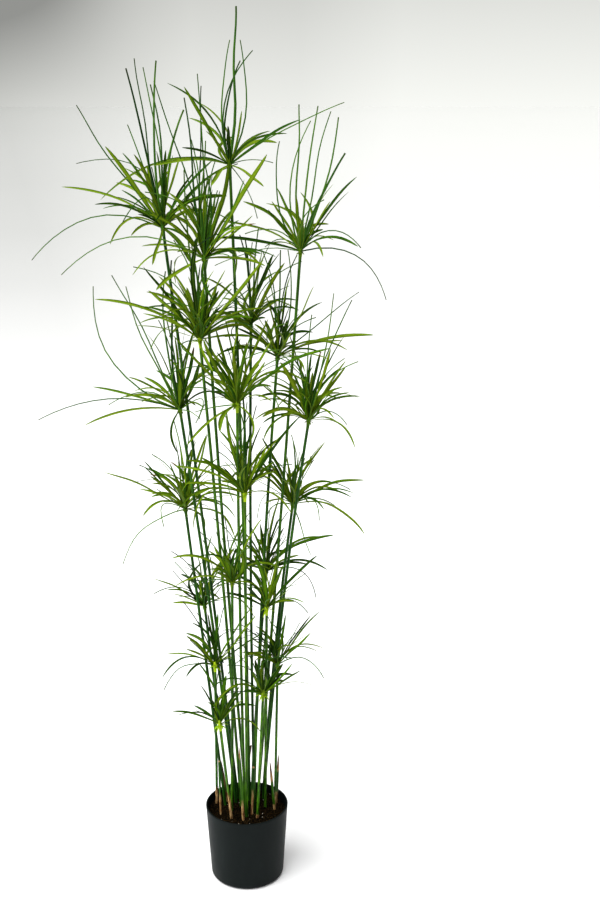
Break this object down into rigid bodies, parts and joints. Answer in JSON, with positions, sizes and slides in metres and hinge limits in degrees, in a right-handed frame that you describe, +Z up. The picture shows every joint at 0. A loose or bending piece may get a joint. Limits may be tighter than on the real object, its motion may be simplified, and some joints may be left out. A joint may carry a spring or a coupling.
{
  "type": "potted papyrus plant",
  "caption": "Tall potted papyrus plant: slender upright stems rising from a round tapered pot of soil, each ending in an umbrella of narrow arching leaves.",
  "frame": {"origin": "centre of the pot's underside, on the surface that it stands on", "axes": "+Z up along the pot's axis; the front of the plant, as pictured, faces -Y; +X to the right as seen from the front"},
  "size_m": [0.6859, 0.5172, 1.8204],
  "materials": {
    "pot_plastic": "matte",
    "potting_soil": "matte",
    "stem_green": "satin",
    "leaf_green": "satin",
    "dried_tan": "matte"
  },
  "bodies": {
    "root": {"pot": "pot_plastic", "soil": "potting_soil", "stem_01": "stem_green", "stem_02": "stem_green", "stem_03": "stem_green", "stem_04": "stem_green", "stem_05": "stem_green", "stem_06": "stem_green", "stem_07": "stem_green", "stem_08": "stem_green", "stem_09": "stem_green", "stem_10": "stem_green", "stem_11": "stem_green", "stem_12": "stem_green", "stem_13": "stem_green", "stem_14": "stem_green", "stem_15": "stem_green", "stem_16": "stem_green", "stem_17": "stem_green", "stem_18": "stem_green", "stem_19": "stem_green", "stem_20": "stem_green", "stem_21": "stem_green", "leaf_head_01": "leaf_green", "leaf_head_02": "leaf_green", "leaf_head_03": "leaf_green", "leaf_head_04": "leaf_green", "leaf_head_05": "leaf_green", "leaf_head_06": "leaf_green", "leaf_head_07": "leaf_green", "leaf_head_08": "leaf_green", "leaf_head_09": "leaf_green", "leaf_head_10": "leaf_green", "leaf_head_11": "leaf_green", "leaf_head_12": "leaf_green", "leaf_head_13": "leaf_green", "leaf_head_14": "leaf_green", "leaf_head_15": "leaf_green", "leaf_head_16": "leaf_green", "leaf_head_17": "leaf_green", "leaf_head_18": "leaf_green", "leaf_head_19": "leaf_green", "leaf_head_20": "leaf_green", "leaf_head_21": "leaf_green", "cut_stalk_left": "dried_tan", "cut_stalk_middle": "dried_tan", "dried_stalk_left": "dried_tan", "dried_stalk_front": "dried_tan", "dried_stalk_back": "dried_tan", "dried_stalk_right": "dried_tan", "dried_stalk_far_right": "dried_tan"}
  },
  "joints": []
}
